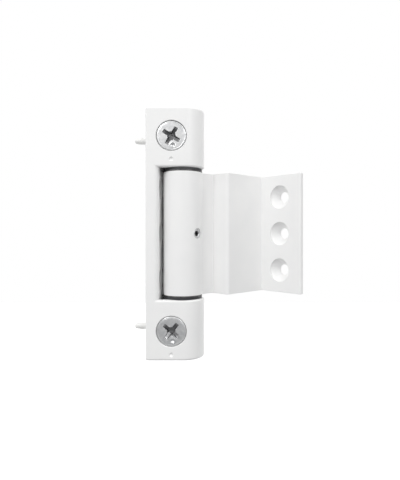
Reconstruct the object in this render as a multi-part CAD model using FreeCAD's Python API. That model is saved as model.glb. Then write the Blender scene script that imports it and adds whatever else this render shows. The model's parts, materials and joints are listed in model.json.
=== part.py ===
"""Laterally adjustable flag hinge for a plastic-framed door or window.

Millimetres, +Z up along the pivot.  The origin is the centre of the middle body-fixing
hole, on the plane that lies against the frame (X = 0).  +X points away from that plane
and +Y away from the side that carries the two adjusters.
"""
import FreeCAD, Part
import math
import os

V = FreeCAD.Vector
UP = V(0, 0, 1)
INTO_BODY = V(0, 1, 0)      # from the adjuster side into the body
OFF_WALL = V(1, 0, 0)       # from the fixing plane into the body

# ---- driving dimensions -------------------------------------------------------------
BODY_HALF = 60.0            # the body runs from -60 to +60
GAP_HALF = 31.5             # gap for the knuckle and its washers
LUG_R = 9.5                 # round side of the lugs' D section
LUG_ROUND_X = 17.75         # its centre, measured from the fixing plane
AXIS_X = 16.95              # pivot axis as stored, measured from the fixing plane
AXIS_Y = 1.5                # pivot axis, behind the line of the fixing holes
STRIP_T = 6.2               # strip that joins the two lugs
CRADLE_END_X = 9.8          # the strip's back rises round the knuckle to here
CRADLE_EDGE_R = 0.5

WALL_CORNER_R = 0.8         # long edges along the fixing plane
STRIP_LIP_R = 2.4           # long edges of the strip beside the knuckle
END_EDGE_R = 1.1            # outer ends of the lugs
GAP_EDGE_R = 1.0            # ends of the lugs beside the knuckle

FIXING_PITCH = 22.0
FIXING_HOLE_R = 2.65
FIXING_SINK_R = 5.9
COUNTERSINK_RISE = 1.0      # 90 degree countersink: one of depth for one of radius

# pivot
PIN_R = 3.5
PIN_HALF_LENGTH = 41.0
PIN_CHAMFER = 0.6
PIN_PASSAGE_CLEARANCE = 0.15
RUNNING_CLEARANCE = 0.05
SEAT_CLEARANCE = 0.02       # between pieces that never move on each other
KNUCKLE_R = 9.6
KNUCKLE_HALF = 29.7

WASHER_R = 9.3
WASHER_T = 0.6
WASHER_START = 29.75        # height of the washer's face beside the knuckle
FLANGE_R = 9.2
FLANGE_T = 1.0
FLANGE_START = 30.4
BUSH_R = 4.8
BUSH_END = 38.8

# lateral adjustment: a carrier slides in each lug, moved by an eccentric
CARRIER_HALF_WIDTH = 6.0
CARRIER_LEFT = 7.7
CARRIER_CORNER_R = 1.8
CARRIER_START = 31.65
CARRIER_END_CLEARANCE = 0.2
SHIFT_TO_WALL = 1.0         # travel towards the fixing plane
SHIFT_FROM_WALL = 1.4
SHIFT_SPARE = 0.35
SLIDE_CLEARANCE = 0.06
POCKET_CORNER_R = 0.6

ADJUSTER_X = 12.2
ADJUSTER_HEIGHTS = {"upper": 46.15, "lower": -46.15}
ADJUSTER_TURN = 8.0         # degrees from centred, anticlockwise seen from the front
ADJUSTER_HEAD_R = 7.1
ADJUSTER_HEAD_T = 1.6
ADJUSTER_BEVEL = 0.45
ADJUSTER_INSET = 0.2        # head face below the body's front
COUNTERBORE_CLEARANCE = 0.15
COUNTERBORE_RIM = 0.25      # bevel round the counterbore's mouth
JOURNAL_R = 4.5
JOURNAL_END = 4.5           # below the body's front
ECCENTRICITY = 1.5
ECCENTRIC_R = 1.75
ECCENTRIC_END = 6.7         # below the body's front
SLOT_CLEARANCE = 0.18
SLOT_END_CLEARANCE = 0.2
HEAD_ROOM = 5.8             # from the adjuster's centre to the end of its carrier

CROSS_ANGLES = {"upper": 50.0, "lower": 43.0}     # of the arms, before the head is turned
CROSS_HALF_SPAN = 4.5
CROSS_ARM_W = 1.75
CROSS_WALL = 0.8            # upright part at the ends of the arms
CROSS_DEPTH = 2.6
CROSS_BOTTOM_HALF_SPAN = 1.4
CROSS_CORE_R = 2.1
CROSS_CORE_DEPTH = 2.9
CROSS_CORE_BOTTOM_R = 0.6
HEAD_DOT_R = 1.15
HEAD_DOT_OFFSET = 4.45
HEAD_DOT_DEPTH = 0.7
BODY_DOT_R = 1.1
BODY_DOT_OFFSET = 11.0
BODY_DOT_DEPTH = 0.9

SPRING_T = 0.25             # spring washer under the adjuster's head
SPRING_GAP = 0.4
SPRING_CLEARANCE = 0.15
SPRING_EDGE = 0.3           # its rim inside the head's
CLIP_T = 0.6
CLIP_GROOVE_CLEARANCE = 0.1
CLIP_R = 5.4
CLIP_GROOVE_R = 3.9
CLIP_OPENING = 2.4

# flag: section points are (u, w), measured from the pivot axis
FLAG_ANGLE = -45.0          # direction of u from +X, in the stored position
FLAG_T = 4.0                # web, shelf and drop
LEAF_T = 4.8
WEB_FACE_U = 7.4
SHELF_FACE_W = 13.1
DROP_FACE_U = 17.7
LEAF_FACE_W = 38.65
LEAF_END_U = 42.4
CREST_R = 1.8
HEEL_R = 1.5
LEAF_END_R = 0.4
LEAF_BACK_R = 4.0           # rounded edge at the back of the leaf's end
INNER_CORNER_R = 0.5
FLAG_EDGE_R = 0.35
LEAF_HOLE_U = 29.45
LEAF_HOLE_PITCH = 18.5
LEAF_HOLE_R = 2.7
LEAF_SINK_R = 5.9
LEAF_SINK_STRAIGHT = 0.8    # straight part of the sink above its cone

# grub screw that locks the pin in the knuckle
GRUB_ANGLE = -39.0          # its direction from +X, in the stored position
GRUB_R = 2.5
GRUB_INSET = 0.4
GRUB_BEVEL = 0.4
GRUB_TIP_CLEARANCE = 0.05
GRUB_HEX_ACROSS_FLATS = 2.5
GRUB_HEX_DEPTH = 2.2
GRUB_DOG_R = 1.5
GRUB_DOG_LENGTH = 0.8
DIMPLE_CLEARANCE = 0.1

# locating pegs and end plugs
PEG_HEIGHTS = {"upper": 45.0, "lower": -45.0}
PEG_SEAT_R = 1.3
PEG_SEAT_DEPTH = 5.0
PEG_SEAT_SPARE = 0.2
PEG_SEAT_BEVEL = 0.3
PEG_R = 1.6
PEG_TIP_R = 1.25
PEG_LENGTH = 6.3
PEG_STRAIGHT = 3.6
PEG_DOME = [(0.93, 1.0), (0.45, 0.82), (0.12, 0.5), (0, 0)]    # (back from the end, share of tip radius)
PLUG_HEAD_R = 6.3
PLUG_HEAD_T = 1.0
PLUG_BEVEL = 0.25
PLUG_STEP_CLEARANCE = 0.1
PLUG_FLOOR_T = 0.6
PLUG_SKIRT_R = 4.95
PLUG_WALL = 1.2
PLUG_LENGTH = 5.5

# ---- worked out from them ------------------------------------------------------------
FRONT_Y = AXIS_Y - LUG_R
BACK_Y = AXIS_Y + LUG_R
POCKET_HALF_WIDTH = CARRIER_HALF_WIDTH + SLIDE_CLEARANCE
POCKET_LEFT = CARRIER_LEFT - SHIFT_TO_WALL - SHIFT_SPARE
POCKET_ROUND_X = AXIS_X + SHIFT_FROM_WALL + SHIFT_SPARE
COUNTERBORE_R = ADJUSTER_HEAD_R + COUNTERBORE_CLEARANCE
COUNTERBORE_DEPTH = ADJUSTER_INSET + ADJUSTER_HEAD_T + SPRING_GAP
POCKET_DEPTH_FROM_FRONT = LUG_R - POCKET_HALF_WIDTH
ECCENTRIC_DX = -ECCENTRICITY * math.sin(math.radians(ADJUSTER_TURN))
U_DIR = V(math.cos(math.radians(FLAG_ANGLE)), math.sin(math.radians(FLAG_ANGLE)), 0)
W_DIR = V(-U_DIR.y, U_DIR.x, 0)
PIVOT = V(AXIS_X, AXIS_Y, 0)
GRUB_DIR = V(math.cos(math.radians(GRUB_ANGLE)), math.sin(math.radians(GRUB_ANGLE)), 0)
GRUB_SIDE = V(-GRUB_DIR.y, GRUB_DIR.x, 0)


# ---- helpers -------------------------------------------------------------------------
def rounded_outline(corners):
    """Closed wire through corners (point, radius), each corner rounded by a tangent arc."""
    starts, ends, arcs = [], [], []
    count = len(corners)
    for i, (point, radius) in enumerate(corners):
        before = (corners[i - 1][0] - point).normalize()
        after = (corners[(i + 1) % count][0] - point).normalize()
        if radius == 0:
            starts.append(point)
            ends.append(point)
            arcs.append(None)
            continue
        half_angle = before.getAngle(after) / 2
        reach = radius / math.tan(half_angle)
        start = point + before * reach
        end = point + after * reach
        centre = point + (before + after).normalize() * (radius / math.sin(half_angle))
        middle = centre + (point - centre).normalize() * radius
        starts.append(start)
        ends.append(end)
        arcs.append(Part.Arc(start, middle, end).toShape())
    edges = []
    for i in range(count):
        if arcs[i] is not None:
            edges.append(arcs[i])
        following = starts[(i + 1) % count]
        if (following - ends[i]).Length > 1e-6:
            edges.append(Part.LineSegment(ends[i], following).toShape())
    return Part.Wire(edges)


def prism(wire, bottom, top):
    """Solid between two heights, from a flat outline drawn at height 0."""
    face = Part.Face(wire)
    face.translate(UP * bottom)
    return face.extrude(UP * (top - bottom))


def turned(profile, centre, axis):
    """Solid of revolution: profile points are (distance along the axis, radius)."""
    side = V(0, 0, 1) if abs(axis.z) < 0.5 else V(1, 0, 0)
    points = [centre + axis * along + side * radius for along, radius in profile]
    return Part.Face(Part.makePolygon(points + points[:1])).revolve(centre, axis, 360)


def ring(inner_r, outer_r, bottom, height):
    """Flat ring round the pivot axis."""
    base = V(AXIS_X, AXIS_Y, bottom)
    return Part.makeCylinder(outer_r, height, base).cut(Part.makeCylinder(inner_r, height, base))


def ring_between(inner_r, outer_r, sign, near, thickness):
    """Flat ring that starts `near` above (sign 1) or below (sign -1) the middle."""
    bottom = near if sign > 0 else -near - thickness
    return ring(inner_r, outer_r, bottom, thickness)


def edges_at_height(shape, height):
    """Edges that lie wholly in one horizontal plane."""
    return [edge for edge in shape.Edges
            if abs(edge.BoundBox.ZMin - height) < 1e-4 and abs(edge.BoundBox.ZMax - height) < 1e-4]


def at_front(x, depth, z):
    """Point a given depth below the body's front face."""
    return V(x, FRONT_Y + depth, z)


def sign_of(end):
    return 1 if end == "upper" else -1


def carrier_far_end(end):
    return abs(ADJUSTER_HEIGHTS[end]) + HEAD_ROOM


def save(name, shape):
    solid = shape.Solids[0] if len(shape.Solids) == 1 else shape
    if not solid.isValid():
        raise RuntimeError(name + " is not a valid solid")
    solid.exportStep("parts/" + name + ".step")
    print(name, len(shape.Solids), round(shape.Volume, 1))


# ---- body ----------------------------------------------------------------------------
def d_section(left_r):
    """D outline: flat on the fixing plane, round on the far side."""
    square = rounded_outline([
        (V(0, FRONT_Y, 0), left_r),
        (V(LUG_ROUND_X, FRONT_Y, 0), 0),
        (V(LUG_ROUND_X, BACK_Y, 0), 0),
        (V(0, BACK_Y, 0), left_r)])
    block = Part.Face(square)
    round_side = Part.Face(Part.Wire(Part.Circle(V(LUG_ROUND_X, AXIS_Y, 0), UP, LUG_R).toShape()))
    return block.fuse(round_side).removeSplitter().Faces[0].OuterWire


def lug(end):
    """One end of the body, with both of its rims rounded."""
    sign = sign_of(end)
    bottom, top = (GAP_HALF, BODY_HALF) if sign > 0 else (-BODY_HALF, -GAP_HALF)
    solid = prism(d_section(WALL_CORNER_R), bottom, top)
    outer, inner = (top, bottom) if sign > 0 else (bottom, top)
    solid = solid.makeFillet(END_EDGE_R, edges_at_height(solid, outer))
    return solid.makeFillet(GAP_EDGE_R, edges_at_height(solid, inner))


def strip():
    """Strip along the fixing plane that joins the lugs, hollowed round the knuckle at its back."""
    overlap = GAP_HALF + 2 * GAP_EDGE_R
    front = rounded_outline([
        (V(0, FRONT_Y, 0), WALL_CORNER_R),
        (V(STRIP_T, FRONT_Y, 0), STRIP_LIP_R),
        (V(STRIP_T, AXIS_Y, 0), 0),
        (V(0, AXIS_Y, 0), 0)])
    back = rounded_outline([
        (V(0, AXIS_Y, 0), 0),
        (V(CRADLE_END_X, AXIS_Y, 0), 0),
        (V(CRADLE_END_X, BACK_Y, 0), CRADLE_EDGE_R),
        (V(0, BACK_Y, 0), WALL_CORNER_R)])
    hollow = Part.makeCylinder(AXIS_X - STRIP_T, 2 * overlap, V(AXIS_X, AXIS_Y, -overlap))
    cradle = prism(back, -overlap, overlap).cut(hollow)
    return prism(front, -overlap, overlap).fuse(cradle).removeSplitter()


def fixing_hole(z):
    """Through hole, countersunk from the knuckle side."""
    sink_depth = (FIXING_SINK_R - FIXING_HOLE_R) * COUNTERSINK_RISE
    return turned([(-1, 0), (-1, FIXING_HOLE_R), (STRIP_T - sink_depth, FIXING_HOLE_R),
                   (STRIP_T, FIXING_SINK_R), (STRIP_T + 1, FIXING_SINK_R), (STRIP_T + 1, 0)],
                  V(0, 0, z), OFF_WALL)


def carrier_pocket(end):
    """Blind pocket, open beside the knuckle, that a carrier slides in."""
    far = carrier_far_end(end) + CARRIER_END_CLEARANCE
    low_y, high_y = AXIS_Y - POCKET_HALF_WIDTH, AXIS_Y + POCKET_HALF_WIDTH
    outline = rounded_outline([
        (V(POCKET_LEFT, low_y, 0), POCKET_CORNER_R),
        (V(POCKET_ROUND_X, low_y, 0), 0),
        (V(POCKET_ROUND_X, high_y, 0), 0),
        (V(POCKET_LEFT, high_y, 0), POCKET_CORNER_R)])
    near = GAP_HALF - 1
    bottom, top = (near, far) if sign_of(end) > 0 else (-far, -near)
    round_end = Part.makeCylinder(POCKET_HALF_WIDTH, top - bottom, V(POCKET_ROUND_X, AXIS_Y, bottom))
    return prism(outline, bottom, top).fuse(round_end)


def end_opening(end):
    """Opening in the lug's outer end that the pivot pin passes, stepped for its plug."""
    sign = sign_of(end)
    inner = carrier_far_end(end) - BODY_HALF
    hole_r = PLUG_SKIRT_R + SEAT_CLEARANCE
    step_r = PLUG_HEAD_R + PLUG_STEP_CLEARANCE
    return turned([(inner, 0), (inner, hole_r), (-PLUG_HEAD_T, hole_r),
                   (-PLUG_HEAD_T, step_r), (1, step_r), (1, 0)],
                  V(LUG_ROUND_X, AXIS_Y, sign * BODY_HALF), UP * sign)


def adjuster_seat(end):
    """Counterbore and journal bore for an adjuster, and the index dot below it."""
    z = ADJUSTER_HEIGHTS[end]
    mouth_r = COUNTERBORE_R + COUNTERBORE_RIM
    bore_r = JOURNAL_R + RUNNING_CLEARANCE
    seat = turned([(-1, 0), (-1, mouth_r), (0, mouth_r), (COUNTERBORE_RIM, COUNTERBORE_R),
                   (COUNTERBORE_DEPTH, COUNTERBORE_R), (COUNTERBORE_DEPTH, bore_r),
                   (POCKET_DEPTH_FROM_FRONT + 1, bore_r), (POCKET_DEPTH_FROM_FRONT + 1, 0)],
                  at_front(ADJUSTER_X, 0, z), INTO_BODY)
    dot = turned([(-1, 0), (-1, BODY_DOT_R), (0, BODY_DOT_R), (BODY_DOT_DEPTH, 0)],
                 at_front(ADJUSTER_X, 0, z - BODY_DOT_OFFSET), INTO_BODY)
    return [seat, dot]


def peg_hole(end):
    base = V(-1, 0, PEG_HEIGHTS[end])
    length = PEG_SEAT_DEPTH + PEG_SEAT_SPARE + 1
    return Part.makeCylinder(PEG_SEAT_R + SEAT_CLEARANCE, length, base, OFF_WALL)


def hinge_body():
    cuts = [fixing_hole(k * FIXING_PITCH) for k in (-1, 0, 1)]
    for end in ("upper", "lower"):
        cuts += [carrier_pocket(end), end_opening(end), peg_hole(end)] + adjuster_seat(end)
    body = lug("upper").fuse([strip(), lug("lower")]).removeSplitter()
    for cut in cuts:
        body = body.cut(cut)
    return body


# ---- carriage: what the adjusters move ------------------------------------------------
def carrier(end):
    """Sliding block that holds a bush and is moved by the adjuster's eccentric."""
    sign = sign_of(end)
    far = carrier_far_end(end)
    low_y, high_y = AXIS_Y - CARRIER_HALF_WIDTH, AXIS_Y + CARRIER_HALF_WIDTH
    bottom, top = (CARRIER_START, far) if sign > 0 else (-far, -CARRIER_START)
    outline = rounded_outline([
        (V(CARRIER_LEFT, low_y, 0), CARRIER_CORNER_R),
        (V(AXIS_X, low_y, 0), 0),
        (V(AXIS_X, high_y, 0), 0),
        (V(CARRIER_LEFT, high_y, 0), CARRIER_CORNER_R)])
    round_end = Part.makeCylinder(CARRIER_HALF_WIDTH, top - bottom, V(AXIS_X, AXIS_Y, bottom))
    block = prism(outline, bottom, top).fuse(round_end).removeSplitter()

    start = sign * CARRIER_START
    bush_seat_depth = BUSH_END + CARRIER_END_CLEARANCE - CARRIER_START
    bush_seat = Part.makeCylinder(BUSH_R + SEAT_CLEARANCE, bush_seat_depth + 1,
                                  V(AXIS_X, AXIS_Y, start - sign), UP * sign)
    pin_passage = Part.makeCylinder(PIN_R + PIN_PASSAGE_CLEARANCE, far, V(AXIS_X, AXIS_Y, 0), UP * sign)

    # the front is stepped back round the adjuster's retaining clip
    z = ADJUSTER_HEIGHTS[end]
    step_depth = JOURNAL_END + SLOT_END_CLEARANCE
    step_from = abs(z) - HEAD_ROOM
    step_height = far - step_from + 1
    step_bottom = step_from if sign > 0 else -step_from - step_height
    step = Part.makeBox(2 * AXIS_X, step_depth + 1, step_height, at_front(0, -1, step_bottom))

    # upright slot for the eccentric, which stands above the adjuster's centre
    half_w = ECCENTRIC_R + SLOT_CLEARANCE
    slot_x = ADJUSTER_X + ECCENTRIC_DX
    slot_depth = ECCENTRIC_END + SLOT_END_CLEARANCE - step_depth
    slot_low = z + ECCENTRICITY / 2 - SLOT_END_CLEARANCE
    slot_high = z + ECCENTRICITY + SLOT_END_CLEARANCE
    base_y = FRONT_Y + step_depth
    slot = Part.makeBox(2 * half_w, slot_depth, slot_high - slot_low, V(slot_x - half_w, base_y, slot_low))
    for slot_z in (slot_low, slot_high):
        slot = slot.fuse(Part.makeCylinder(half_w, slot_depth, V(slot_x, base_y, slot_z), INTO_BODY))
    for cut in (bush_seat, pin_passage, step, slot):
        block = block.cut(cut)
    return block


def bush(end):
    """Flanged bush: the flange fills the gap beside the knuckle."""
    sign = sign_of(end)
    bore = PIN_R + RUNNING_CLEARANCE
    return turned([(FLANGE_START, bore), (FLANGE_START, FLANGE_R), (FLANGE_START + FLANGE_T, FLANGE_R),
                   (FLANGE_START + FLANGE_T, BUSH_R), (BUSH_END, BUSH_R), (BUSH_END, bore)],
                  PIVOT, UP * sign)


# ---- adjusters -----------------------------------------------------------------------
def cross_recess(face_point, angle):
    """Tapered cross recess with a conical core."""
    recess = turned([(-1, 0), (-1, CROSS_CORE_R), (0, CROSS_CORE_R),
                     (CROSS_CORE_DEPTH, CROSS_CORE_BOTTOM_R), (CROSS_CORE_DEPTH, 0)], face_point, INTO_BODY)
    for arm in range(2):
        profile = [V(-CROSS_HALF_SPAN, -1, 0), V(CROSS_HALF_SPAN, -1, 0), V(CROSS_HALF_SPAN, CROSS_WALL, 0),
                   V(CROSS_BOTTOM_HALF_SPAN, CROSS_DEPTH, 0), V(-CROSS_BOTTOM_HALF_SPAN, CROSS_DEPTH, 0),
                   V(-CROSS_HALF_SPAN, CROSS_WALL, 0)]
        blade = Part.Face(Part.makePolygon(profile + profile[:1])).extrude(UP * CROSS_ARM_W)
        blade.translate(V(0, 0, -CROSS_ARM_W / 2))
        blade.rotate(V(0, 0, 0), INTO_BODY, -angle + 90 * arm)
        blade.translate(face_point)
        recess = recess.fuse(blade)
    return recess


def adjuster(end):
    """Headed eccentric with a cross recess and an index dot, drawn centred, then turned."""
    centre = at_front(ADJUSTER_X, 0, ADJUSTER_HEIGHTS[end])
    head_back = ADJUSTER_INSET + ADJUSTER_HEAD_T
    groove_from = POCKET_DEPTH_FROM_FRONT
    groove_to = groove_from + CLIP_T + CLIP_GROOVE_CLEARANCE
    solid = turned([(ADJUSTER_INSET, 0), (ADJUSTER_INSET, ADJUSTER_HEAD_R - ADJUSTER_BEVEL),
                    (ADJUSTER_INSET + ADJUSTER_BEVEL, ADJUSTER_HEAD_R), (head_back, ADJUSTER_HEAD_R),
                    (head_back, JOURNAL_R), (groove_from, JOURNAL_R), (groove_from, CLIP_GROOVE_R),
                    (groove_to, CLIP_GROOVE_R), (groove_to, JOURNAL_R), (JOURNAL_END, JOURNAL_R),
                    (JOURNAL_END, 0)], centre, INTO_BODY)
    eccentric = Part.makeCylinder(ECCENTRIC_R, ECCENTRIC_END - groove_to,
                                  centre + V(0, groove_to, ECCENTRICITY), INTO_BODY)
    solid = solid.fuse(eccentric)
    face_point = centre + V(0, ADJUSTER_INSET, 0)
    solid = solid.cut(cross_recess(face_point, CROSS_ANGLES[end]))
    dot = turned([(-1, 0), (-1, HEAD_DOT_R), (0, HEAD_DOT_R), (HEAD_DOT_DEPTH, 0)],
                 face_point + V(0, 0, -HEAD_DOT_OFFSET), INTO_BODY)
    solid = solid.cut(dot)
    solid.rotate(centre, INTO_BODY, -ADJUSTER_TURN)
    return solid


def adjuster_spring(end):
    """Dished spring washer that holds the adjuster by friction."""
    inner_r, outer_r = JOURNAL_R + SPRING_CLEARANCE, ADJUSTER_HEAD_R - SPRING_EDGE
    low = ADJUSTER_INSET + ADJUSTER_HEAD_T + SEAT_CLEARANCE
    rise = SPRING_GAP - 2 * SEAT_CLEARANCE - SPRING_T
    return turned([(low, inner_r), (low + rise, outer_r), (low + rise + SPRING_T, outer_r),
                   (low + SPRING_T, inner_r)],
                  at_front(ADJUSTER_X, 0, ADJUSTER_HEIGHTS[end]), INTO_BODY)


def adjuster_clip(end):
    """Open retaining ring in the adjuster's groove, behind the lug's front wall."""
    base = at_front(ADJUSTER_X, POCKET_DEPTH_FROM_FRONT + RUNNING_CLEARANCE, ADJUSTER_HEIGHTS[end])
    disc = Part.makeCylinder(CLIP_R, CLIP_T, base, INTO_BODY)
    bore = Part.makeCylinder(CLIP_GROOVE_R + SEAT_CLEARANCE, CLIP_T, base, INTO_BODY)
    mouth = Part.makeBox(CLIP_OPENING, CLIP_T, CLIP_R + 1, base - V(CLIP_OPENING / 2, 0, 0))
    clip = disc.cut(bore).cut(mouth)
    clip.rotate(base, INTO_BODY, -ADJUSTER_TURN)
    return clip


# ---- flag ----------------------------------------------------------------------------
def flag_point(u, w, z=0):
    return PIVOT + U_DIR * u + W_DIR * w + UP * z


def leaf_hole(z):
    """Countersunk hole in the leaf, sunk from its front below a short straight part."""
    sink_depth = LEAF_SINK_STRAIGHT + (LEAF_SINK_R - LEAF_HOLE_R) * COUNTERSINK_RISE
    return turned([(-1, 0), (-1, LEAF_SINK_R), (LEAF_SINK_STRAIGHT, LEAF_SINK_R),
                   (sink_depth, LEAF_HOLE_R), (LEAF_T + 1, LEAF_HOLE_R), (LEAF_T + 1, 0)],
                  flag_point(LEAF_HOLE_U, LEAF_FACE_W, z), W_DIR)


def flag_leaf():
    """Knuckle with its cranked leaf: web, shelf, drop and leaf, one extruded section."""
    web_back = WEB_FACE_U - FLAG_T
    shelf_back = SHELF_FACE_W + FLAG_T
    drop_back = DROP_FACE_U - FLAG_T
    leaf_back = LEAF_FACE_W + LEAF_T
    section = rounded_outline([
        (flag_point(web_back, 0), 0),
        (flag_point(web_back, shelf_back), HEEL_R),
        (flag_point(drop_back, shelf_back), INNER_CORNER_R),
        (flag_point(drop_back, leaf_back), HEEL_R),
        (flag_point(LEAF_END_U, leaf_back), LEAF_BACK_R),
        (flag_point(LEAF_END_U, LEAF_FACE_W), LEAF_END_R),
        (flag_point(DROP_FACE_U, LEAF_FACE_W), INNER_CORNER_R),
        (flag_point(DROP_FACE_U, SHELF_FACE_W), CREST_R),
        (flag_point(WEB_FACE_U, SHELF_FACE_W), INNER_CORNER_R),
        (flag_point(WEB_FACE_U, 0), 0)])
    knuckle = Part.makeCylinder(KNUCKLE_R, 2 * KNUCKLE_HALF, V(AXIS_X, AXIS_Y, -KNUCKLE_HALF))
    flag = knuckle.fuse(prism(section, -KNUCKLE_HALF, KNUCKLE_HALF)).removeSplitter()
    for height in (-KNUCKLE_HALF, KNUCKLE_HALF):
        flag = flag.makeFillet(FLAG_EDGE_R, edges_at_height(flag, height))
    pin_bore = Part.makeCylinder(PIN_R + SEAT_CLEARANCE, 2 * KNUCKLE_HALF + 2,
                                 V(AXIS_X, AXIS_Y, -KNUCKLE_HALF - 1))
    grub_bore = Part.makeCylinder(GRUB_R + SEAT_CLEARANCE, KNUCKLE_R + 1, PIVOT, GRUB_DIR)
    flag = flag.cut(pin_bore).cut(grub_bore)
    for k in (-1, 0, 1):
        flag = flag.cut(leaf_hole(k * LEAF_HOLE_PITCH))
    return flag


def pivot_pin():
    length, radius = PIN_HALF_LENGTH, PIN_R
    pin = turned([(-length, 0), (-length, radius - PIN_CHAMFER), (-length + PIN_CHAMFER, radius),
                  (length - PIN_CHAMFER, radius), (length, radius - PIN_CHAMFER), (length, 0)],
                 PIVOT, UP)
    dimple_floor = PIN_R - GRUB_DOG_LENGTH
    dimple = Part.makeCylinder(GRUB_DOG_R + DIMPLE_CLEARANCE, GRUB_DOG_LENGTH + 1,
                               PIVOT + GRUB_DIR * dimple_floor, GRUB_DIR)
    return pin.cut(dimple)


def pin_lock_screw():
    """Hex-socket grub screw with a dog point that enters the pin's dimple."""
    outer = KNUCKLE_R - GRUB_INSET
    shoulder = PIN_R + GRUB_TIP_CLEARANCE
    tip = shoulder - GRUB_DOG_LENGTH
    screw = turned([(tip, 0), (tip, GRUB_DOG_R), (shoulder, GRUB_DOG_R), (shoulder + GRUB_BEVEL, GRUB_R),
                    (outer - GRUB_BEVEL, GRUB_R), (outer, GRUB_R - GRUB_BEVEL), (outer, 0)], PIVOT, GRUB_DIR)
    corner_r = GRUB_HEX_ACROSS_FLATS / math.sqrt(3)
    corners = []
    for k in range(6):
        angle = math.radians(60 * k)
        corners.append(PIVOT + GRUB_DIR * (outer - GRUB_HEX_DEPTH)
                       + GRUB_SIDE * (corner_r * math.cos(angle)) + UP * (corner_r * math.sin(angle)))
    socket = Part.Face(Part.makePolygon(corners + corners[:1])).extrude(GRUB_DIR * (GRUB_HEX_DEPTH + 1))
    return screw.cut(socket)


# ---- pegs and plugs ------------------------------------------------------------------
def locating_peg(end):
    """Round peg pressed into the fixing face, with a softly domed end."""
    dome = [(PEG_LENGTH - back, PEG_TIP_R * share) for back, share in PEG_DOME]
    return turned([(-PEG_SEAT_DEPTH, 0), (-PEG_SEAT_DEPTH, PEG_SEAT_R - PEG_SEAT_BEVEL),
                   (-PEG_SEAT_DEPTH + PEG_SEAT_BEVEL, PEG_SEAT_R), (0, PEG_SEAT_R), (0, PEG_R),
                   (PEG_STRAIGHT, PEG_R)] + dome,
                  V(0, 0, PEG_HEIGHTS[end]), -OFF_WALL)


def end_plug(end):
    """Push-in plug that closes the opening the pivot pin is fitted through."""
    sign = sign_of(end)
    bore_r = PLUG_SKIRT_R - PLUG_WALL
    head_back = -PLUG_HEAD_T + SEAT_CLEARANCE
    floor = -PLUG_HEAD_T - PLUG_FLOOR_T
    return turned([(0, 0), (0, PLUG_HEAD_R - PLUG_BEVEL), (-PLUG_BEVEL, PLUG_HEAD_R),
                   (head_back, PLUG_HEAD_R), (head_back, PLUG_SKIRT_R), (-PLUG_LENGTH, PLUG_SKIRT_R),
                   (-PLUG_LENGTH, bore_r), (floor, bore_r), (floor, 0)],
                  V(LUG_ROUND_X, AXIS_Y, sign * BODY_HALF), UP * sign)


def main():
    os.makedirs("parts", exist_ok=True)
    save("hinge_body", hinge_body())
    save("flag_leaf", flag_leaf())
    save("pivot_pin", pivot_pin())
    save("pin_lock_screw", pin_lock_screw())
    for end in ("upper", "lower"):
        sign = sign_of(end)
        save(end + "_carrier", carrier(end))
        save(end + "_bush", bush(end))
        save(end + "_thrust_washer",
             ring_between(PIN_R + RUNNING_CLEARANCE, WASHER_R, sign, WASHER_START, WASHER_T))
        save(end + "_adjuster", adjuster(end))
        save(end + "_adjuster_spring", adjuster_spring(end))
        save(end + "_adjuster_clip", adjuster_clip(end))
        save(end + "_locating_peg", locating_peg(end))
        save(end + "_end_plug", end_plug(end))


main()
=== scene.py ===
"""Looks for the adjustable flag hinge: materials, fine pieces, studio and camera.  Metres."""
import bmesh
import bpy
import json
import math
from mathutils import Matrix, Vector


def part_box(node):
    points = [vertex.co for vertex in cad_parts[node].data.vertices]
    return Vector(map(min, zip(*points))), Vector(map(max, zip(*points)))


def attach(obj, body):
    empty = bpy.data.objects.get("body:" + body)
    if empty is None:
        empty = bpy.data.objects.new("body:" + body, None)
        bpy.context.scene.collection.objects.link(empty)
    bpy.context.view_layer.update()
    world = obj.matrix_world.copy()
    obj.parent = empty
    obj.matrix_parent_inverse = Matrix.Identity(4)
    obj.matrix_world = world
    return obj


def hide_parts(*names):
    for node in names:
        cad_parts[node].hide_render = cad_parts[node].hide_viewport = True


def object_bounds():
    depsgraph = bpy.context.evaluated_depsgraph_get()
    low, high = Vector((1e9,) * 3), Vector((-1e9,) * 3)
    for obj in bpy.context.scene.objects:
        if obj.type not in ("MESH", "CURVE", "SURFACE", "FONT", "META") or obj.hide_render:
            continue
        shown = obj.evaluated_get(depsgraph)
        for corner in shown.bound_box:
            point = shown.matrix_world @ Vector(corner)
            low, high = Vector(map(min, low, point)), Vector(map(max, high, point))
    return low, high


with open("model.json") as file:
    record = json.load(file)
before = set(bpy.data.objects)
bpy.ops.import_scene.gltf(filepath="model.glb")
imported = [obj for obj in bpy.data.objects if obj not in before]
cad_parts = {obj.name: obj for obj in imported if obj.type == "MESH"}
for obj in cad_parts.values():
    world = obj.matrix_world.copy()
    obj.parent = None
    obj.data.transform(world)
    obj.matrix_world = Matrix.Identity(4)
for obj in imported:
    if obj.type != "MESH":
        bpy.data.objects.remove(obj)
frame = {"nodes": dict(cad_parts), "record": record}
cad_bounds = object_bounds()
nodes = frame["nodes"]
MM = 0.001
QUARTER_TURN = math.pi / 2
FULL_TURN = 2 * math.pi


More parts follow.
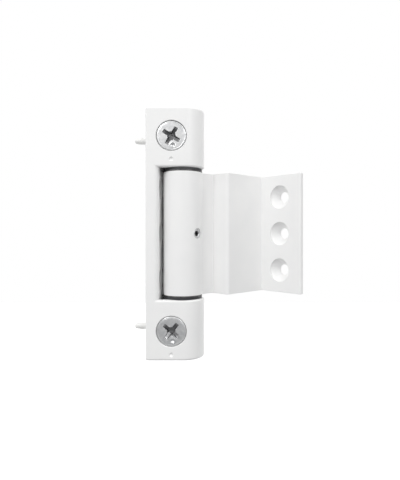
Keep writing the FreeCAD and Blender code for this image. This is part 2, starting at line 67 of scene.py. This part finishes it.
# ---- node helpers --------------------------------------------------------------------
class Nodes:
    """A node tree, with short calls for the nodes that it needs."""

    def __init__(self, tree):
        self.tree = tree

    def node(self, kind, **settings):
        made = self.tree.nodes.new(kind)
        for key, value in settings.items():
            setattr(made, key, value)
        return made

    def link(self, output, socket):
        self.tree.links.new(output, socket)

    def ramp(self, value, start, end, low=0.0, high=1.0, smooth=False):
        """Takes start..end to low..high, and is level beyond them."""
        made = self.node("ShaderNodeMapRange")
        if smooth:
            made.interpolation_type = "SMOOTHSTEP"
        for socket, number in (("From Min", start), ("From Max", end),
                               ("To Min", low), ("To Max", high)):
            made.inputs[socket].default_value = number
        self.link(value, made.inputs["Value"])
        return made.outputs["Result"]

    def smooth_ramp(self, value, start, end, high=1.0):
        return self.ramp(value, start, end, high=high, smooth=True)

    def blend(self, factor, first, second):
        """From the first colour to the second, where either can be another blend."""
        made = self.node("ShaderNodeMix", data_type="RGBA")
        self.link(factor, made.inputs["Factor"])
        for socket, colour in (("A", first), ("B", second)):
            if isinstance(colour, tuple):
                made.inputs[socket].default_value = (*colour, 1.0)
            else:
                self.link(colour, made.inputs[socket])
        return made.outputs["Result"]

    def product(self, first, second):
        made = self.node("ShaderNodeMath", operation="MULTIPLY")
        self.link(first, made.inputs[0])
        self.link(second, made.inputs[1])
        return made.outputs["Value"]

    def split(self, vector):
        """The X, Y and Z of a vector, by name."""
        made = self.node("ShaderNodeSeparateXYZ")
        self.link(vector, made.inputs["Vector"])
        return made.outputs


class Recipe(Nodes):
    """One material being built, on the object's own coordinates."""

    NOISE_LOW, NOISE_HIGH = 0.3, 0.7        # the useful middle of a noise

    def __init__(self, name):
        self.material = bpy.data.materials.new(name)
        self.material.use_nodes = True
        super().__init__(self.material.node_tree)
        self.surface = self.tree.nodes["Principled BSDF"]
        self.place = self.node("ShaderNodeTexCoord").outputs["Object"]

    def noise(self, size, detail=2.0, roughness=0.5, place=None):
        """Noise whose features are about `size` metres across."""
        made = self.node("ShaderNodeTexNoise")
        made.inputs["Scale"].default_value = 1.0 / size
        made.inputs["Detail"].default_value = detail
        made.inputs["Roughness"].default_value = roughness
        self.link(place or self.place, made.inputs["Vector"])
        return made.outputs["Fac"]

    def spread(self, noise, low, high):
        return self.ramp(noise, self.NOISE_LOW, self.NOISE_HIGH, low, high)

    def clouded(self, noise, first, second):
        """Two colours, mixed by a noise."""
        return self.blend(self.spread(noise, 0, 1), first, second)

    def bump(self, height, depth, below=None):
        """Surface relief of `depth` metres, on top of another relief."""
        made = self.node("ShaderNodeBump")
        made.inputs["Strength"].default_value = 1.0
        made.inputs["Distance"].default_value = depth
        self.link(height, made.inputs["Height"])
        if below:
            self.link(below, made.inputs["Normal"])
        return made.outputs["Normal"]

    def finish(self, colour, roughness, normal, **values):
        self.link(colour, self.surface.inputs["Base Color"])
        self.link(roughness, self.surface.inputs["Roughness"])
        self.link(normal, self.surface.inputs["Normal"])
        for key, value in values.items():
            self.surface.inputs[key].default_value = value
        return self.material


# ---- materials -----------------------------------------------------------------------
# the hollow beside the knuckle, which is painted dark as painted shade: (outside, inside, inside,
# outside) in mm
HOLLOW = {
    "X": (6.08, 6.18, 9.5, 9.7),
    "Y": (2.0, 4.0, 10.3, 10.5),
    "Z": (-31.4, -31.2, 31.2, 31.4),
}
COAT_COLOURS = (0.915, 0.915, 0.912), (0.935, 0.933, 0.927)
COAT_CLOUD, COAT_PEEL, COAT_LINES, COAT_GRAIN = 9 * MM, 1.1 * MM, 0.7 * MM, 0.28 * MM
PEEL_DEPTH, LINES_DEPTH, GRAIN_DEPTH = 0.012 * MM, 0.006 * MM, 0.003 * MM
ALONG_EXTRUSION = (1, 1, 0.02)              # draws a noise out into lines along Z
# painted shade for the hollow beside the knuckle, clouded
HOLLOW_SHADE_COLOURS = (0.10, 0.102, 0.105), (0.20, 0.203, 0.208)
PLATE_COLOURS = (0.67, 0.68, 0.69), (0.84, 0.84, 0.84)
# painted shade: the plate turns this dark deep in the recesses
RECESS_SHADE_COLOUR = (0.21, 0.21, 0.215)
RECESS_FROM, RECESS_TO = 0.25, 1.5          # mm below the face


def within(r, value, limits):
    """1 between the two middle limits (mm), 0 beyond the outer two."""
    rise_from, rise_to, drop_from, drop_to = (limit * MM for limit in limits)
    return r.product(r.ramp(value, rise_from, rise_to), r.ramp(value, drop_to, drop_from))


def powder_coat(name, shade_in_hollow=False):
    """White semi-gloss powder coat: orange peel over the faint lines of the extrusion.

    Where asked, the hollow beside the knuckle is painted dark, as painted shade.
    """
    r = Recipe(name)
    colour = r.clouded(r.noise(COAT_CLOUD, 3), *COAT_COLOURS)
    # painted shade: the hollow beside the knuckle is coloured dark
    if shade_in_hollow:
        axes = r.split(r.place)
        hollow = r.product(within(r, axes["X"], HOLLOW["X"]), within(r, axes["Y"], HOLLOW["Y"]))
        hollow = r.product(hollow, within(r, axes["Z"], HOLLOW["Z"]))
        painted_shade = r.clouded(r.noise(2.5 * MM, 3), *HOLLOW_SHADE_COLOURS)
        colour = r.blend(hollow, colour, painted_shade)
    roughness = r.spread(r.noise(2.2 * MM, 2), 0.30, 0.38)
    peel = r.bump(r.noise(COAT_PEEL, 2), PEEL_DEPTH)
    drawn = r.node("ShaderNodeMapping")
    drawn.inputs["Scale"].default_value = ALONG_EXTRUSION
    r.link(r.place, drawn.inputs["Vector"])
    lines = r.bump(r.noise(COAT_LINES, 3, place=drawn.outputs["Vector"]), LINES_DEPTH, peel)
    grain = r.bump(r.noise(COAT_GRAIN, 2), GRAIN_DEPTH, lines)
    return r.finish(colour, roughness, grain)


def plated_steel():
    """Satin zinc plate, a little clouded, darkened deeper in the recesses as painted shade."""
    r = Recipe("plated_steel")
    plate = r.clouded(r.noise(1.6 * MM, 4, 0.6), *PLATE_COLOURS)
    # painted shade, growing with the depth of the recess
    depth = r.node("ShaderNodeAttribute", attribute_name="recess").outputs["Fac"]
    sunk = r.smooth_ramp(depth, RECESS_FROM, RECESS_TO)
    colour = r.blend(sunk, plate, RECESS_SHADE_COLOUR)
    roughness = r.spread(r.noise(0.9 * MM, 3), 0.30, 0.46)
    normal = r.bump(r.noise(0.5 * MM, 3), 0.01 * MM)
    return r.finish(colour, roughness, normal, Metallic=1.0)


def plain(name, colours, cloud, roughness, patches, grain, depth, metallic=0.0):
    """Two clouded colours, patches of roughness and a fine grain.

    cloud, patches and grain are noises, each (size in mm, detail); depth is the grain's, in mm.
    """
    def noise(kind):
        size, detail = kind
        return r.noise(size * MM, detail)

    r = Recipe(name)
    colour = r.clouded(noise(cloud), *colours)
    dullness = r.spread(noise(patches), *roughness)
    normal = r.bump(noise(grain), depth * MM)
    return r.finish(colour, dullness, normal, Metallic=metallic)


FINISHES = {
    "white_powder_coat": powder_coat("white_powder_coat"),
    "plated_steel": plated_steel(),
    # ground, with fine scratches
    "bright_steel": plain("bright_steel", ((0.55, 0.55, 0.56), (0.66, 0.66, 0.66)), cloud=(2, 3),
                          roughness=(0.2, 0.34), patches=(0.6, 3), grain=(0.2, 2), depth=0.004,
                          metallic=1.0),
    # blackened, lightly oiled
    "dark_steel": plain("dark_steel", ((0.10, 0.10, 0.105), (0.20, 0.20, 0.20)), cloud=(1.2, 3),
                        roughness=(0.3, 0.45), patches=(0.7, 3), grain=(0.25, 2), depth=0.005,
                        metallic=1.0),
    # as cast, with a dull grain
    "cast_zinc": plain("cast_zinc", ((0.40, 0.41, 0.42), (0.52, 0.53, 0.54)), cloud=(1.5, 4),
                       roughness=(0.45, 0.6), patches=(1.0, 3), grain=(0.4, 3), depth=0.02,
                       metallic=1.0),
    # black bearing plastic
    "dark_bush": plain("bearing_plastic", ((0.030, 0.031, 0.034), (0.050, 0.051, 0.055)),
                       cloud=(2, 3), roughness=(0.38, 0.5), patches=(0.8, 3), grain=(0.3, 2),
                       depth=0.006),
    # moulded, off white
    "white_nylon": plain("white_nylon", ((0.83, 0.83, 0.82), (0.87, 0.87, 0.855)), cloud=(3, 3),
                         roughness=(0.38, 0.5), patches=(1.0, 2), grain=(0.5, 3), depth=0.008),
}


def dress(node, material):
    mesh = nodes[node].data
    mesh.materials.clear()
    mesh.materials.append(material)


def dress_cad_nodes():
    for entry in frame["record"]["subparts"]:
        dress(entry["node"], FINISHES[entry["material_slot"]])
    # the body's coat carries painted shade in the hollow beside the knuckle
    dress("hinge_body", powder_coat("white_powder_coat_body", shade_in_hollow=True))


# ---- fine pieces ---------------------------------------------------------------------
# all their sizes are in mm; their profiles are lists of (depth below the outer face, radius)
def fall(value, start, end):
    """1 below start, 0 above end, smooth between them."""
    t = min(max((value - start) / (end - start), 0.0), 1.0)
    return 1 - t * t * (3 - 2 * t)


def bulge(distance, width):
    """Smooth bump, 1 at distance 0."""
    return math.exp(-(distance / width) ** 2)


def span(low, high, count):
    """Evenly spaced values from low to high, both included."""
    return [low + (high - low) * k / (count - 1) for k in range(count)]


FACE_RINGS = 64


def face_out_to(radius):
    """Flat face out to this radius, with rings enough to carry relief."""
    return [(0, reach) for reach in span(radius / FACE_RINGS, radius, FACE_RINGS)]


class Lathe:
    """Turned solids collected in one mesh.

    Millimetres, measured from `centre` (metres), which lies on the outer face: `into` points
    from that face into the piece, `right` and `up` lie in it.
    """

    def __init__(self, centre, into, right, up):
        self.centre, self.into = Vector(centre), Vector(into)
        self.right, self.up = Vector(right), Vector(up)
        self.points, self.faces, self.recess = [], [], []

    def put(self, depth, x, z, recess=0.0):
        offset = self.into * depth + self.right * x + self.up * z
        self.points.append(self.centre + MM * offset)
        self.recess.append(recess)
        return len(self.points) - 1

    def turn(self, rings, segments, relief=None, swell=None, offset=(0, 0)):
        """Closed solid through rings of (depth, radius).

        relief(x, z) sinks the face, which is the rings at depth 0, and never the rings behind
        it; swell(depth, angle) adds to the radius.
        """
        def ring(depth, radius):
            row = []
            for k in range(segments):
                angle = FULL_TURN * k / segments
                reach = radius + (swell(depth, angle) if swell else 0)
                x, z = reach * math.cos(angle), reach * math.sin(angle)
                sunk = relief(x, z) if relief and depth == 0 else 0
                row.append(self.put(depth + sunk, x + offset[0], z + offset[1], max(sunk, 0)))
            return row

        first_sunk = relief(0, 0) if relief else 0
        first = self.put(rings[0][0] + first_sunk, *offset, first_sunk)
        rows = [ring(depth, radius) for depth, radius in rings]
        last = self.put(rings[-1][0], *offset)
        for k in range(segments):
            after = (k + 1) % segments
            self.faces.append((first, rows[0][after], rows[0][k]))
            self.faces.append((last, rows[-1][k], rows[-1][after]))
            for row, following in zip(rows, rows[1:]):
                self.faces.append((row[k], row[after], following[after], following[k]))

    def piece(self, name, node, body, slot):
        mesh = bpy.data.meshes.new(name)
        mesh.from_pydata(self.points, [], self.faces)
        recess = mesh.attributes.new("recess", "FLOAT", "POINT")
        recess.data.foreach_set("value", self.recess)
        shape = bmesh.new()
        shape.from_mesh(mesh)
        bmesh.ops.recalc_face_normals(shape, faces=shape.faces)
        shape.to_mesh(mesh)
        shape.free()
        mesh.shade_smooth()
        mesh.materials.append(FINISHES[slot])
        made = bpy.data.objects.new(name, mesh)
        bpy.context.scene.collection.objects.link(made)
        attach(made, body)
        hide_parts(node)


def middle_of(node):
    low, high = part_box(node)
    return (Vector(low) + Vector(high)) / 2


# adjusters: cross recess, punched dot and bevelled rim
ADJUSTER_TURN = math.radians(8)
CROSS_ANGLES = {"upper": 50.0, "lower": 43.0}
ARM_HALF_SPAN = 4.5
ARM_HALF_WIDTH = 0.875
ARM_WALL = 0.8              # upright part at the ends of the arms
ARM_FLOOR_HALF_SPAN = 1.4
ARM_DEPTH = 2.6
CORE_R = 2.1
CORE_FLOOR_R = 0.6
CORE_DEPTH = 2.85
RAISED_EDGE = 0.045         # height of the metal pushed up round the cross
DOT_R = 1.15
DOT_OFFSET = 4.45
DOT_DEPTH = 0.68
DOT_HOLLOWNESS = 0.7        # 1 is a cone, and less is rounder
DOT_BURR = 0.09
EDGE = 0.09                 # half the width over which an edge is rounded
FACE_R = 6.2
HEAD_SEGMENTS = 240
HEAD_RIM = [(0.04, 6.24), (0.04, 6.29), (0.0, 6.34), (0.01, 6.6), (0.07, 6.8), (0.18, 6.94),
            (0.33, 7.04), (0.5, 7.09), (0.62, 7.1), (1.45, 7.1), (1.56, 7.06), (1.6, 6.98)]
JOURNAL = [(1.6, 4.56), (1.65, 4.5), (3.2, 4.5), (3.24, 4.46), (3.26, 3.87), (3.92, 3.87),
           (3.94, 4.46), (3.98, 4.5), (4.2, 4.5), (4.3, 4.4)]
ECCENTRIC = [(4.2, 1.75), (6.3, 1.75), (6.42, 1.7), (6.5, 1.55)]
ECCENTRICITY = 1.5
ECCENTRIC_SEGMENTS = 64
BEYOND = 10.0               # further out than any part of the head


def cross_sunk(x, z, angle):
    """Depth of the cross recess at a point of the head; its edges are pushed up a little."""
    depth, outside = 0.0, BEYOND
    for direction in (angle, angle + QUARTER_TURN):
        along = abs(x * math.cos(direction) + z * math.sin(direction))
        across = abs(z * math.cos(direction) - x * math.sin(direction))
        slope = (ARM_HALF_SPAN - along) / (ARM_HALF_SPAN - ARM_FLOOR_HALF_SPAN)
        floor_depth = ARM_WALL + (ARM_DEPTH - ARM_WALL) * min(max(slope, 0), 1)
        inside = fall(across, ARM_HALF_WIDTH - EDGE, ARM_HALF_WIDTH + EDGE)
        inside *= fall(along, ARM_HALF_SPAN - EDGE, ARM_HALF_SPAN + EDGE)
        depth = max(depth, floor_depth * inside)
        outside = min(outside, max(across - ARM_HALF_WIDTH, along - ARM_HALF_SPAN))
    core = (CORE_R - math.hypot(x, z)) / (CORE_R - CORE_FLOOR_R)
    depth = max(depth, CORE_DEPTH * min(core, 1))
    if depth < RAISED_EDGE:
        depth -= RAISED_EDGE * bulge(outside - 2 * EDGE, 1.5 * EDGE)
    return depth


def adjuster_face(angle):
    """Relief of the whole head: cross recess and the dot punched beside it."""
    dot_x = DOT_OFFSET * math.sin(ADJUSTER_TURN)
    dot_z = -DOT_OFFSET * math.cos(ADJUSTER_TURN)

    def relief(x, z):
        if math.hypot(x, z) > FACE_R:
            return 0.0
        from_dot = math.hypot(x - dot_x, z - dot_z)
        crater = DOT_DEPTH * max(1 - from_dot / DOT_R, 0) ** DOT_HOLLOWNESS
        burr = DOT_BURR * bulge(from_dot - DOT_R - DOT_BURR, 2 * DOT_BURR)
        return max(cross_sunk(x, z, angle), crater) - burr
    return relief


def adjuster(end):
    """Head and journal in one closed shell, and the eccentric in another, which starts in it."""
    node = end + "_adjuster"
    centre = middle_of(node)
    centre.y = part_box(node)[0][1]
    head = Lathe(centre, (0, 1, 0), (1, 0, 0), (0, 0, 1))
    relief = adjuster_face(math.radians(CROSS_ANGLES[end]) + ADJUSTER_TURN)
    head.turn(face_out_to(FACE_R) + HEAD_RIM + JOURNAL, HEAD_SEGMENTS, relief=relief)
    off_centre = (-ECCENTRICITY * math.sin(ADJUSTER_TURN), ECCENTRICITY * math.cos(ADJUSTER_TURN))
    head.turn(ECCENTRIC, ECCENTRIC_SEGMENTS, offset=off_centre)
    head.piece(end + "_adjuster_head", node, end + "_eccentric", "plated_steel")


# grub screw: thread, chamfered hex socket and dog point
GRUB_ANGLE = math.radians(-39)
GRUB_SEGMENTS = 120
GRUB_FACE_R = 2.05
GRUB_R = 2.5
GRUB_CAD_FACE_R = 2.1       # inside the CAD screw's bevel: that edge is its furthest point along X
THREAD_FROM, THREAD_TO = 0.45, 5.2
THREAD_PITCH = 0.8
THREAD_DEPTH = 0.36
THREAD_RINGS = 60
HEX_TURNS = (0, math.pi / 3, -math.pi / 3)      # square to its three pairs of flats
HEX_HALF_FLATS = 1.25
HEX_DEPTH = 2.2
HEX_CHAMFER = 0.28
GRUB_RIM = [(0.02, 2.12), (0.12, 2.3), (0.3, 2.44), (0.44, 2.5)]
GRUB_POINT = [(5.25, 2.44), (5.65, 2.05), (5.65, 1.5), (6.3, 1.5), (6.45, 1.36)]


def hex_sunk(x, z):
    """Depth of the hex socket, with a chamfered mouth."""
    if math.hypot(x, z) > GRUB_FACE_R:
        return 0.0
    across = max(abs(z * math.cos(turn) + x * math.sin(turn)) for turn in HEX_TURNS)
    if across > HEX_HALF_FLATS:
        return max(HEX_CHAMFER * (1 - (across - HEX_HALF_FLATS) / HEX_CHAMFER), 0)
    wall = fall(across, HEX_HALF_FLATS - EDGE, HEX_HALF_FLATS)
    return HEX_CHAMFER + (HEX_DEPTH - HEX_CHAMFER) * wall


def thread(depth, angle):
    """Helical V thread cut into the screw's side."""
    if not THREAD_FROM < depth < THREAD_TO:
        return 0.0
    phase = (depth / THREAD_PITCH + angle / FULL_TURN) % 1
    fade = min(depth - THREAD_FROM, THREAD_TO - depth, THREAD_PITCH) / THREAD_PITCH
    return -THREAD_DEPTH * fade * (1 - abs(2 * phase - 1))


def grub_screw():
    node = "pin_lock_screw"
    outward = Vector((math.cos(GRUB_ANGLE), math.sin(GRUB_ANGLE), 0))
    sideways = Vector((-outward.y, outward.x, 0))
    joints = frame["record"]["behaviour"]["joints"]
    pivot = Vector(next(joint for joint in joints if joint["name"] == "flag_swing")["pos_m"])
    half_width = GRUB_CAD_FACE_R * MM * abs(sideways.x)
    reach = (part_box(node)[1][0] - pivot.x - half_width) / outward.x
    screw = Lathe(pivot + outward * reach, -outward, sideways, (0, 0, 1))
    side = [(depth, GRUB_R) for depth in span(THREAD_FROM, THREAD_TO, THREAD_RINGS)]
    screw.turn(face_out_to(GRUB_FACE_R) + GRUB_RIM + side + GRUB_POINT, GRUB_SEGMENTS,
               relief=hex_sunk, swell=thread)
    screw.piece("lock_screw", node, "flag", "plated_steel")


# locating pegs and end plugs
PEG_TIP = [(0.0, 0.24), (0.02, 0.42), (0.08, 0.66), (0.18, 0.87), (0.33, 1.03), (0.52, 1.15),
           (0.75, 1.21), (1.0, 1.25), (1.5, 1.35), (2.0, 1.45), (2.4, 1.52), (2.65, 1.57)]
PEG_SIDE = [(2.8, 1.58), (3.6, 1.58), (5.6, 1.58), (6.1, 1.58), (6.22, 1.55), (6.3, 1.48),
            (6.3, 1.26), (10.9, 1.26), (11.3, 1.05)]
PEG_SEGMENTS = 144
PARTING_LINE = 0.02
PARTING_WIDTH = 0.05        # in radians round the peg
PLUG_FACE = [(0.24, 0.2), (0.24, 0.62), (0.28, 0.7), (0.34, 0.78), (0.34, 1.2), (0.32, 3.0),
             (0.3, 4.9), (0.27, 5.15), (0.18, 5.35), (0.06, 5.5), (0.0, 5.62), (0.0, 5.95),
             (0.03, 6.1), (0.1, 6.2), (0.22, 6.27), (0.35, 6.3)]
PLUG_BACK = [(0.94, 6.3), (0.97, 6.25), (0.98, 4.95), (4.9, 4.95), (5.3, 4.85), (5.5, 4.65),
             (5.5, 3.85), (5.4, 3.76), (1.7, 3.75), (1.6, 3.65)]
PLUG_SEGMENTS = 160


def parting_line(depth, angle):
    """Fine ridge along the top and bottom of the peg, where its mould closed."""
    from_line = abs(math.remainder(angle - QUARTER_TURN, math.pi))
    return PARTING_LINE * bulge(from_line, PARTING_WIDTH)


def peg(end):
    node = end + "_locating_peg"
    tip = middle_of(node)
    tip.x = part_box(node)[0][0]
    shape = Lathe(tip, (1, 0, 0), (0, 1, 0), (0, 0, 1))
    shape.turn(PEG_TIP + PEG_SIDE, PEG_SEGMENTS, swell=parting_line)
    shape.piece(end + "_peg", node, "body", "white_nylon")


def plug(end, sign):
    node = end + "_end_plug"
    outer = middle_of(node)
    outer.z = sign * max(abs(corner[2]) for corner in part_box(node))
    shape = Lathe(outer, (0, 0, -sign), (1, 0, 0), (0, sign, 0))
    shape.turn(PLUG_FACE + PLUG_BACK, PLUG_SEGMENTS)
    shape.piece(end + "_plug", node, "body", "white_nylon")


# ---- studio --------------------------------------------------------------------------
# light of each part of the room, and where it changes along an axis: -1 to 1 from the hinge
FRONT_LIGHT, FRONT_BELOW = (0.76, 0.76, 0.76), (0.38, 0.385, 0.39)
BACK_EDGE, BACK_MIDDLE = (0.74, 0.74, 0.74), (1.0, 1.0, 1.0)
SIDES = (0.42, 0.42, 0.42)
CEILING_LEFT, CEILING_RIGHT = (0.86, 0.86, 0.86), (1.15, 1.15, 1.15)
BELOW_FROM, BELOW_TO = 0.02, -0.2
BACK_FROM, BACK_TO = 0.6, 0.78
FRONT_FROM, FRONT_TO = 0.25, -0.2
SIDES_FROM, SIDES_TO = 0.4, 0.8
RIGHT_FROM, RIGHT_TO = 0.05, 0.5
CEILING_FROM, CEILING_TO = 0.45, 0.85

FLOOR_HALF = 3.0
FLOOR_DROP = 0.45                           # below the hinge
FLOOR_COLOURS = (0.92, 0.92, 0.92), (0.95, 0.95, 0.95)
# painted shade: the floor is grey in front of the hinge, standing in for a darker room there
FLOOR_FRONT_SHADE = (0.36, 0.365, 0.37)
NEAR_FROM, NEAR_TO = 0.45, -0.25            # along Y: it darkens towards the camera
# painted light: the floor glows faintly at the back, though it is no lamp
GLOW_FROM, GLOW_TO = 0.1, 0.6               # along Y: it glows faintly at the back
GLOW = 0.4
WHITE = (1, 1, 1, 1)

AIM = (0.03, 0, 0)
LIGHTS = [                                  # name, place, size, watts
    ("key", (-0.30, -0.45, 0.42), 0.24, 1.5),
    ("side", (0.34, -0.46, 0.28), 0.30, 0.72),
    ("back", (0.46, 0.10, 0.42), 0.25, 0.45),
]

SENSOR_MM, LENS_MM = 36.0, 33.15
SHIFT_X, SHIFT_Y = -0.0503, -0.0135
EYE = (0.0371, -0.2160, 0)
NEAREST = 0.01


def studio():
    """White wall behind, a softer room in front that darkens downwards, and a light ceiling."""
    world = bpy.data.worlds.new("studio")
    bpy.context.scene.world = world
    world.use_nodes = True
    room = Nodes(world.node_tree)
    axes = room.split(room.node("ShaderNodeTexCoord").outputs["Generated"])
    front = room.blend(room.smooth_ramp(axes["Z"], BELOW_FROM, BELOW_TO), FRONT_LIGHT, FRONT_BELOW)
    backdrop = room.blend(room.smooth_ramp(axes["Y"], BACK_FROM, BACK_TO), BACK_EDGE, BACK_MIDDLE)
    walls = room.blend(room.smooth_ramp(axes["Y"], FRONT_FROM, FRONT_TO), backdrop, front)
    sides = room.blend(room.smooth_ramp(axes["X"], SIDES_FROM, SIDES_TO), walls, SIDES)
    to_right = room.smooth_ramp(axes["X"], RIGHT_FROM, RIGHT_TO)
    ceiling = room.blend(to_right, CEILING_LEFT, CEILING_RIGHT)
    whole = room.blend(room.smooth_ramp(axes["Z"], CEILING_FROM, CEILING_TO), sides, ceiling)
    room.link(whole, room.tree.nodes["Background"].inputs["Color"])


def area_light(name, place, size, power):
    light = bpy.data.lights.new(name, "AREA")
    light.shape = "DISK"
    light.size = size
    light.energy = power
    lamp = bpy.data.objects.new(name, light)
    bpy.context.scene.collection.objects.link(lamp)
    lamp.location = place
    lamp.rotation_euler = (Vector(AIM) - Vector(place)).to_track_quat("-Z", "Y").to_euler()


def floor():
    """Floor well below the hinge, which hangs from its mount: pale behind, with a faint painted
    glow there, and grey in front as painted shade.
    """
    half, height = FLOOR_HALF, cad_bounds[0][2] - FLOOR_DROP
    corners = [(-half, -half, height), (half, -half, height), (half, half, height),
               (-half, half, height)]
    mesh = bpy.data.meshes.new("floor")
    mesh.from_pydata(corners, [], [(0, 1, 2, 3)])
    plate = bpy.data.objects.new("floor", mesh)
    bpy.context.scene.collection.objects.link(plate)
    r = Recipe("floor_paint")
    back = r.clouded(r.noise(0.4, 3), *FLOOR_COLOURS)
    axes = r.split(r.place)
    # painted shade: grey towards the camera
    colour = r.blend(r.smooth_ramp(axes["Y"], NEAR_FROM, NEAR_TO), back, FLOOR_FRONT_SHADE)
    # painted light: faint glow of the floor at the back
    painted_glow = r.smooth_ramp(axes["Y"], GLOW_FROM, GLOW_TO, high=GLOW)
    r.link(painted_glow, r.surface.inputs["Emission Strength"])
    roughness = r.spread(r.noise(0.1, 2), 0.6, 0.7)
    grain = r.bump(r.noise(0.02, 2), 0.0002)
    mesh.materials.append(r.finish(colour, roughness, grain, **{"Emission Color": WHITE}))


def camera():
    """At the height of the hinge's middle, square to the body's front."""
    data = bpy.data.cameras.new("camera")
    data.sensor_width = SENSOR_MM
    data.lens = LENS_MM
    data.shift_x = SHIFT_X
    data.shift_y = SHIFT_Y
    data.clip_start = NEAREST
    eye = bpy.data.objects.new("camera", data)
    eye.location = EYE
    eye.rotation_euler = (QUARTER_TURN, 0, 0)
    bpy.context.scene.collection.objects.link(eye)
    bpy.context.scene.camera = eye


dress_cad_nodes()
grub_screw()
for end, sign in (("upper", 1), ("lower", -1)):
    adjuster(end)
    peg(end)
    plug(end, sign)
studio()
floor()
camera()
for light in LIGHTS:
    area_light(*light)
bpy.context.scene.view_settings.view_transform = "Standard"
